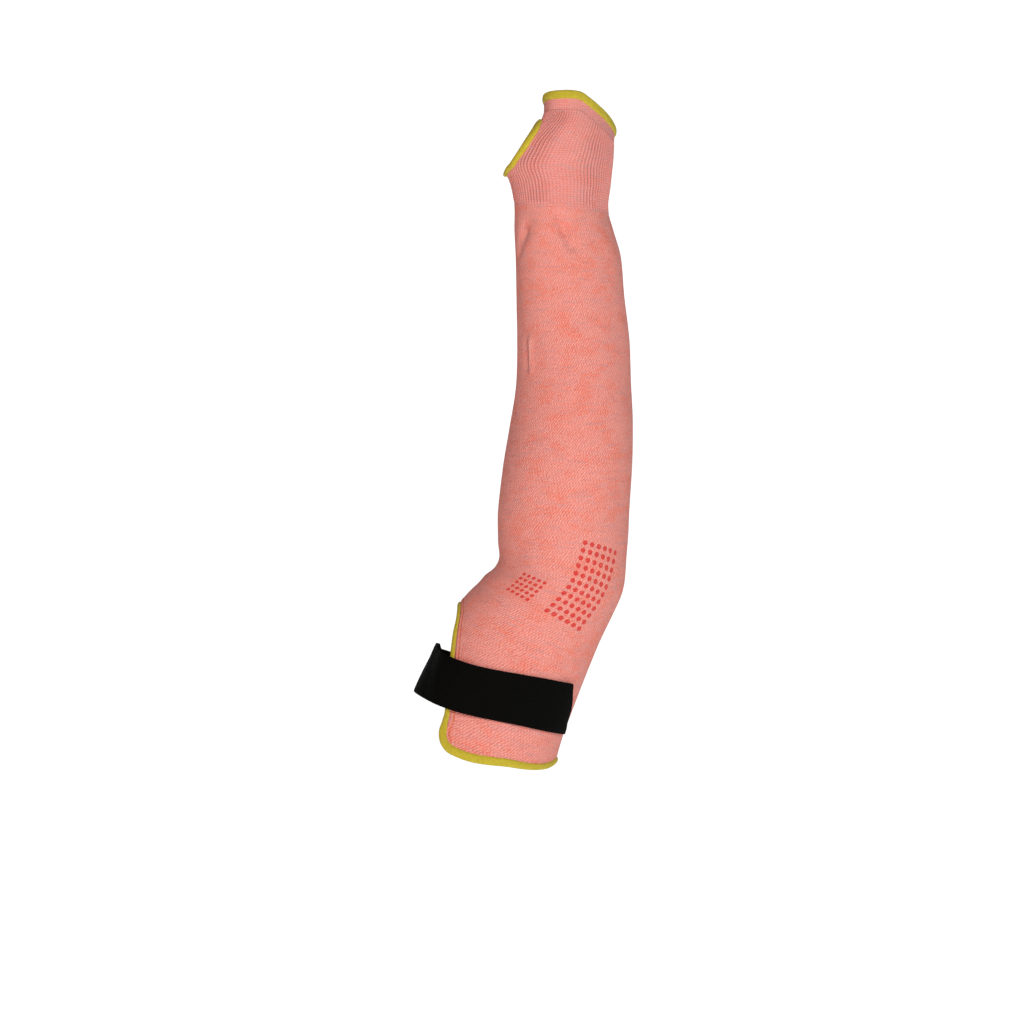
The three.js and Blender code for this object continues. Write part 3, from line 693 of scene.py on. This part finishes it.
def knit_finish(name, colours, ribbed=False, dots=()):
    """Marled knit. Its mark map holds the distance from an edge and how clearly the ribs stand out."""
    finish = Finish(name)
    u, v = finish.pair("cloth")
    from_edge, strength = finish.pair("mark")
    height = rib_stitches(finish, u, v) if ribbed else slanted_stitches(finish, u, v)
    colour = marl(finish, u, v, colours)
    # Painted shade in the gaps between the stitches, then a painted highlight on their tops
    colour = finish.blend((1 - height.between(0.05, 0.75)) * 0.42, colour, colours["gap"])
    colour = finish.blend(height.between(0.4, 0.95) * 0.24, colour, colours["top"])
    for block in dots:
        mask = dot_block(finish, u, v, **block) * height.between(0.0, 0.3)
        colour = finish.blend(mask * 0.9, colour, PRINT_RED)
    if ribbed:
        phase = (u / UV_PER_DEGREE * (RIBS / FULL_TURN)).fraction()
        groove = (1 - (phase - 0.5).size() * 2).between(0.25, 1.0) * strength
        seam_and_crease_shade = line_at(from_edge, WELT_LENGTH, 0.7) * 0.5
        # Painted shade: the rib grooves and the crease line under the welt are darkened towards grey
        colour = finish.blend(groove * 0.48, colour, PAINTED_GROOVE_SHADE)
        colour = finish.blend(seam_and_crease_shade * 0.6, colour, PAINTED_GROOVE_SHADE)
        broad = groove * -0.5 - seam_and_crease_shade
    else:
        # Painted highlight along the pleat's ridge
        pleat_highlight = line_at(u, PLEAT_AROUND * UV_PER_DEGREE, 1.1) * line_at(v, PLEAT_ALONG * SLEEVE_LENGTH, 17)
        colour = finish.blend(pleat_highlight * 0.6, colour, colours["top"])
        # On the plain knit this is the slit's real stitched line, in its own orange
        seam_and_crease_shade = line_at(from_edge, SEAM_INSET, 0.9)
        colour = finish.blend(seam_and_crease_shade * 0.75, colour, SEAM_ORANGE)
        broad = line_at(from_edge, ROLL_INSET, 1.9) - seam_and_crease_shade * 0.6
    fuzz = finish.noise(u, v, 1.6, 3.0, 0.7, 3.0)
    raised = finish.bump(broad, 0.0009, 0.8)
    normal = finish.bump(height + fuzz * 0.5, 0.0005, 0.6, raised)
    varied = {"Base Color": colour, "Normal": normal, "Roughness": fuzz * 0.1 + 0.85}
    constant = {"Specular IOR Level": 0.12, "Sheen Weight": 0.04, "Sheen Roughness": 0.6}
    return finish.surface(varied, constant)


def binding_finish(name):
    """Overlocked thread: slanted threads side by side in yellow with painted greenish shade between them."""
    finish = Finish(name)
    u, v = finish.pair("cloth")
    slant = (u + v * 0.35) / YARN_PITCH
    thread = (slant.fraction() - 0.5).size() * -2 + 1
    mottle = finish.noise(u, v, 0.35, 3.0, 0.6)
    colour = finish.blend(mottle.between(0.35, 0.7) * 0.7, THREAD_COLOURS["yarn"], THREAD_COLOURS["shaded"])
    # Painted shade between the threads
    colour = finish.blend((1 - thread.between(0.0, 0.45)) * 0.8, colour, THREAD_COLOURS["gap"])
    normal = finish.bump(thread, 0.0003, 0.7)
    varied = {"Base Color": colour, "Normal": normal, "Roughness": mottle * 0.2 + 0.6}
    constant = {"Specular IOR Level": 0.2, "Sheen Weight": 0.03, "Sheen Roughness": 0.5}
    return finish.surface(varied, constant)


def strap_finish(name):
    """Black woven elastic: fine lengthwise cords crossed by the weft."""
    finish = Finish(name)
    u, v = finish.pair("cloth")
    cord = (v / CORD_PITCH * math.tau).sine()
    weft = (u / WEFT_PITCH * math.tau + cord * 0.6).sine()
    dust = finish.noise(u * 0.15, v, 0.9, 3.0, 0.6)
    colour = finish.blend(dust.between(0.5, 0.8) * 0.5, STRAP_COLOURS["cord"], STRAP_COLOURS["dust"])
    normal = finish.bump(cord * 0.6 + weft * 0.4, 0.00025, 0.6)
    varied = {"Base Color": colour, "Normal": normal, "Roughness": dust * 0.15 + 0.72}
    constant = {"Specular IOR Level": 0.04}
    return finish.surface(varied, constant)


PRINT_BLOCKS = [
    {"middle": (119 * UV_PER_DEGREE, 142.0), "turn": -12.0, "cells": (6, 11), "pitch": 5.4},
    {"middle": (67 * UV_PER_DEGREE, 132.0), "turn": -12.0, "cells": (5, 5), "pitch": 4.2},
]
plain_knit = knit_finish("plain_knit", KNIT_COLOURS, dots=PRINT_BLOCKS)
rib_knit = knit_finish("rib_knit", RIB_COLOURS, ribbed=True)
yellow_binding = binding_finish("yellow_binding")
black_strap = strap_finish("black_strap")


def flat_of(places):
    """UV of the knit: millimetres round the sleeve and along it."""
    return np.stack([places[..., 1] * UV_PER_DEGREE, places[..., 0]], axis=-1)


def make_body():
    places = body_places()
    along = places[..., 0]
    around = places[..., 1]
    near_edge = np.concatenate([arch_half, side_line[::-1]])
    beside = np.minimum(distance_to(near_edge, places), distance_to(other_half(near_edge), places))
    roll = ROLL_RELIEF * np.exp(-((beside - ROLL_INSET) / ROLL_WIDTH) ** 2)
    points = tube_surface(along, around)
    points = points + outward_normal(tube_surface, along, around) * roll[..., None]
    open_rows = BODY_CELLS["open_rows"]
    open_columns = BODY_CELLS["open_columns"]
    kept = lambda i, j: i >= open_rows or j < open_columns
    marks = np.stack([beside, np.zeros_like(beside)], axis=-1)
    mesh = mesh_from_grid("sleeve_tube", points, flat_of(places), kept, marks)
    face_outwards(mesh, middle_line)
    return piece_from(mesh, "sleeve_tube", plain_knit, KNIT_WALL)


def rib_strength(along, around):
    """How clearly the ribs stand out: little where the cloth is pulled flat and under the bindings."""
    pulled = smoothstep(np.abs(np.cos(np.radians(around - 4))), 0.16, 0.62)
    from_line = smoothstep(along - cuff_line(around), 0, 5)
    from_edge = smoothstep(hand_edge(around) - along, WELT_LENGTH, WELT_LENGTH + 2)
    x = signed_turn(around) / THUMB_HOLE_SPREAD
    y = (along - HOLE_MIDDLE) * 2 / THUMB_HOLE_LENGTH
    from_hole = smoothstep(np.hypot(x, y), 1.2, 1.4)
    return mix(0.2, 1, pulled) * from_line * from_edge * from_hole


def rib_height(along, around):
    return RIB_RELIEF * np.cos(RIBS * np.radians(around)) * rib_strength(along, around)


def make_cuff():
    places = cuff_places()
    along = places[..., 0]
    around = places[..., 1]
    surface = off_face(cuff_surface, rib_height)
    cells = CUFF_CELLS
    side = cells["hole_columns"] // 2
    low = cells["below"]
    high = low + cells["hole"]
    kept = lambda i, j: i < low or i >= high or (side <= j < cells["columns"] - side)
    marks = np.stack([hand_edge(around) - along, rib_strength(along, around)], axis=-1)
    mesh = mesh_from_grid("ribbed_cuff", surface(along, around), flat_of(places), kept, marks)
    face_outwards(mesh, middle_line)
    return piece_from(mesh, "ribbed_cuff", rib_knit, CUFF_WALL)


def edge_stations(line, pitch):
    """Even places along a closed edge, the way from it over the cloth, and how far along each is."""
    scale = mm_per_degree(line[:, 0])
    step = np.hypot(np.diff(line[:, 0]), np.diff(line[:, 1]) * (scale[1:] + scale[:-1]) / 2)
    far = np.concatenate([[0.0], np.cumsum(step)])
    count = int(far[-1] / pitch)
    goal = np.linspace(0, far[-1], count + 1)
    along = np.interp(goal, far, line[:, 0])
    around = np.interp(goal, far, line[:, 1])
    soft = lambda values: sum(np.roll(values[:-1], k) for k in range(-3, 4)) / 7
    turn_along = np.gradient(along)[:-1]
    turn_around = np.gradient(around)[:-1] * mm_per_degree(along[:-1])
    turn_along = soft(np.append(turn_along, 0))
    turn_around = soft(np.append(turn_around, 0))
    length = np.hypot(turn_along, turn_around)
    inward = np.stack([turn_around / length, -turn_along / length], axis=-1)
    inward = np.concatenate([inward, inward[:1]])
    return np.stack([along, around], axis=-1), inward, goal


def squared(wave, roundness):
    """A sine or cosine for a section that is squarer than an oval."""
    return np.sign(wave) * np.abs(wave) ** roundness


def binding_profile(wall, count=26):
    """Cross-section of a binding round the cloth's edge: inset from the edge and height over the face."""
    half = (wall + 2 * BINDING_WALL) / 2
    angle = np.linspace(0, math.tau, count + 1)
    inset = squared(np.cos(angle), BINDING_ROUNDNESS) * BINDING_WIDTH / 2
    height = squared(np.sin(angle), BINDING_ROUNDNESS) * half
    return inset + BINDING_WIDTH / 2 - BINDING_WALL - CLEARANCE, height - wall / 2


def make_binding(name, surface, line, wall, sign, breadth_at=None, puff=1.0):
    """A binding round the cloth's edge. sign 1 has the cloth on the line's left, -1 on its right.

    breadth_at gives its share of the full width from place to place, and puff swells its outer side.
    """
    stations, inward, far = edge_stations(line, THREAD_STEP)
    inset, height = binding_profile(wall)
    height = np.where(height > -wall / 2, (height + wall / 2) * puff - wall / 2, height)
    breadth = breadth_at(stations[:, 0], stations[:, 1]) if breadth_at else np.ones(len(stations))
    inward = inward * sign
    thread = np.pi * (far[:, None] + inset[None] * 0.4) / THREAD_PITCH
    ridge = THREAD_RELIEF * np.abs(np.sin(thread))
    lump = UNEVEN_RELIEF * np.sin(far / 5.3)[:, None]
    scale = mm_per_degree(stations[:, 0])
    reach = np.maximum(inset, 0)[None, :] * breadth[:, None]
    along = stations[:, None, 0] + inward[:, None, 0] * reach
    around = stations[:, None, 1] + inward[:, None, 1] * reach / scale[:, None]
    base = surface(along, around)
    edge = surface(stations[:, 0], stations[:, 1])
    ahead = surface(stations[:, 0] + inward[:, 0], stations[:, 1] + inward[:, 1] / scale)
    way_in = unit(ahead - edge)
    base = base + way_in[:, None] * np.minimum(inset, 0)[None, :, None]
    normal = outward_normal(surface, along, around)
    swell = np.where(height > -wall / 2, 1, -1) * (ridge + lump)
    points = base + normal * (height[None] + swell)[..., None]
    points[-1] = points[0]
    points[:, -1] = points[:, 0]
    girth = np.cumsum(np.hypot(np.gradient(inset), np.gradient(height)))
    flat = np.stack(np.broadcast_arrays(far[:, None], girth[None]), axis=-1)
    mesh = mesh_from_grid(name, points, flat)
    bmesh.ops.recalc_face_normals(mesh, faces=mesh.faces[:])
    return piece_from(mesh, name, yellow_binding)


def hem_breadth(along, around):
    """Shares of the binding's width: narrower along the slit and at the hem's elbow side."""
    turn = np.abs(signed_turn(around))
    slit = smoothstep(along, 6, 16) * (1 - smoothstep(turn, 61, 75))
    return (1 - 0.42 * slit) * (1 - 0.35 * smoothstep(turn, 95, 150))


def thumb_breadth(along, around):
    low = HOLE_TOP - THUMB_HOLE_LENGTH
    return mix(0.45, 1.1, smoothstep(along, low, low + 8))


def slit_and_hem_line():
    near = np.concatenate([arch_half, side_line[::-1][1:], hem_half[1:]])
    return np.concatenate([near, other_half(near)[1:]])


def hand_line():
    around = np.linspace(0, FULL_TURN, 400)
    return np.stack([hand_edge(around), around], axis=-1)


def thumb_line():
    angle = np.linspace(0, math.tau, 300)
    along = HOLE_MIDDLE + np.cos(angle) * THUMB_HOLE_LENGTH / 2
    return np.stack([along, np.sin(angle) * THUMB_HOLE_SPREAD], axis=-1)


def strap_lift(along, around):
    """Height of the strap's middle face: over the cloth and its bindings, dipping in the slit's gap."""
    down = np.clip(1 - along / SLIT_LENGTH, 0, 1)
    past = (np.abs(signed_turn(around)) - slit_around(down)) * mm_per_degree(along) / BINDING_WIDTH
    on_cloth = smoothstep(past, -4, -0.5)
    on_binding = 1 - smoothstep(past, 2, 4)
    seat = 2 * CLEARANCE + (CLEARANCE + PACKED_BINDING_WALL) * on_binding
    return mix(-KNIT_WALL, seat, on_cloth) + STRAP_WALL / 2


def make_strap():
    angle = np.linspace(0, math.tau, STRAP_CELLS["rim"] + 1)
    across = 0.5 + 0.5 * squared(np.cos(angle), 0.5)
    thick = squared(np.sin(angle), 0.3) * STRAP_WALL / 2
    run = np.linspace(0, 1, STRAP_CELLS["length"] + 1)[:, None]
    end = read_table(STRAP_CUT, across, "across", "around") + END_WAVE * np.sin(across * 15)
    around = mix(STRAP_SEWN_END, end[None], run)
    middle = read_table(STRAP_LINE, around, "around", "height") * STRAP_WIDTH
    tuck = (1 - smoothstep(np.abs(around + 2), 12, 27)) * smoothstep(across, 0.75, 1)[None]
    along = middle + (across[None] - 0.5) * STRAP_WIDTH + TUCK_RISE * tuck
    base = oval_point(along, around)
    normal = outward_normal(oval_point, along, around)
    lift = strap_lift(along, around) + thick[None] + TUCK_LIFT * tuck
    points = base + normal * lift[..., None]
    width = np.broadcast_to(across[None] * STRAP_WIDTH, around.shape)
    flat = np.stack([around * STRAP_UV_PER_DEGREE, width], axis=-1)
    mesh = mesh_from_grid("strap", points, flat)
    bmesh.ops.holes_fill(mesh, edges=[edge for edge in mesh.edges if edge.is_boundary])
    bmesh.ops.recalc_face_normals(mesh, faces=mesh.faces[:])
    return piece_from(mesh, "strap", black_strap)


# The view and the stage, in metres
CAMERA_DISTANCE = 2.1
VIEW_WIDTH = 0.768
SENSOR_WIDTH = 36
STAGE_LENGTH = 7.0
STAGE_HALF_WIDTH = 2.2
STAGE_FRONT = -2.4
FLOOR_LENGTH = 4.4
FLOOR_HEIGHT = -0.3
SWEEP_LENGTH = 1.2
SWEEP_RADIUS = 0.76


def add_camera():
    lens = bpy.data.cameras.new("camera")
    camera = bpy.data.objects.new("camera", lens)
    bpy.context.scene.collection.objects.link(camera)
    camera.location = (0.01275, -CAMERA_DISTANCE, 0.1399)
    camera.rotation_euler = (math.radians(90), 0, 0)
    lens.sensor_width = SENSOR_WIDTH
    lens.lens = SENSOR_WIDTH * CAMERA_DISTANCE / VIEW_WIDTH
    bpy.context.scene.camera = camera


def add_stage():
    """A pale floor that sweeps up behind."""
    mesh = bmesh.new()
    bmesh.ops.create_grid(mesh, x_segments=1, y_segments=48, size=1)
    for corner in mesh.verts:
        run = (corner.co.y + 1) / 2 * STAGE_LENGTH
        bend = min(max(run - FLOOR_LENGTH, 0.0), SWEEP_LENGTH) / SWEEP_LENGTH * math.pi / 2
        back = min(run, FLOOR_LENGTH) + math.sin(bend) * SWEEP_RADIUS
        up = (1 - math.cos(bend)) * SWEEP_RADIUS + max(run - FLOOR_LENGTH - SWEEP_LENGTH, 0.0)
        corner.co = (corner.co.x * STAGE_HALF_WIDTH, back + STAGE_FRONT, up + FLOOR_HEIGHT)
    bmesh.ops.recalc_face_normals(mesh, faces=mesh.faces[:])
    data = bpy.data.meshes.new("stage")
    mesh.to_mesh(data)
    mesh.free()
    stage = bpy.data.objects.new("stage", data)
    bpy.context.scene.collection.objects.link(stage)
    paper = Finish("paper")
    glow = {"Emission Color": (1, 1, 1, 1), "Emission Strength": 0.85}
    data.materials.append(paper.surface({}, {"Base Color": (0.5, 0.5, 0.5, 1), "Roughness": 0.9, **glow}))
    stage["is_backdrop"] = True


def add_light(name, place, target, size, power, colour=(1, 1, 1)):
    lamp = bpy.data.lights.new(name, "AREA")
    lamp.shape = "DISK"
    lamp.size = size
    lamp.energy = power
    lamp.color = colour
    light = bpy.data.objects.new(name, lamp)
    light.location = place
    light.rotation_euler = (Vector(target) - Vector(place)).to_track_quat("-Z", "Y").to_euler()
    bpy.context.scene.collection.objects.link(light)


def add_lights():
    world = bpy.data.worlds.new("studio")
    world.use_nodes = True
    background = world.node_tree.nodes["Background"]
    background.inputs["Color"].default_value = (1, 1, 1, 1)
    background.inputs["Strength"].default_value = 0.1
    bpy.context.scene.world = world
    middle = (0.03, 0, 0.16)
    add_light("key", (0.4, -1.85, 0.86), middle, 0.9, 26.8)
    add_light("fill", (-0.9, -1.6, 0.3), middle, 1.2, 4.6, (1, 0.5, 0.42))
    bpy.context.scene.view_settings.view_transform = "Standard"
    bpy.context.scene.view_settings.look = "None"


add_camera()
add_stage()
add_lights()
body = make_body()
cuff = make_cuff()
hem_edging = make_binding("hem_edging", tube_surface, slit_and_hem_line(), KNIT_WALL, 1, hem_breadth)
hand_edging = make_binding("hand_edging", cuff_surface, hand_line(), CUFF_WALL, -1)
thumb_edging = make_binding("thumb_edging", cuff_surface, thumb_line(), CUFF_WALL, 1, thumb_breadth, 1.4)
strap = make_strap()

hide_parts("sleeve_body")
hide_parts("rib_cuff")
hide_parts("hem_binding")
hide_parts("hand_binding")
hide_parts("thumb_binding")
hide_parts("closure_strap")

as_list = lambda box: [[float(value) for value in corner] for corner in box]
{"cad": as_list(cad_box), "visual": as_list(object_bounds())}
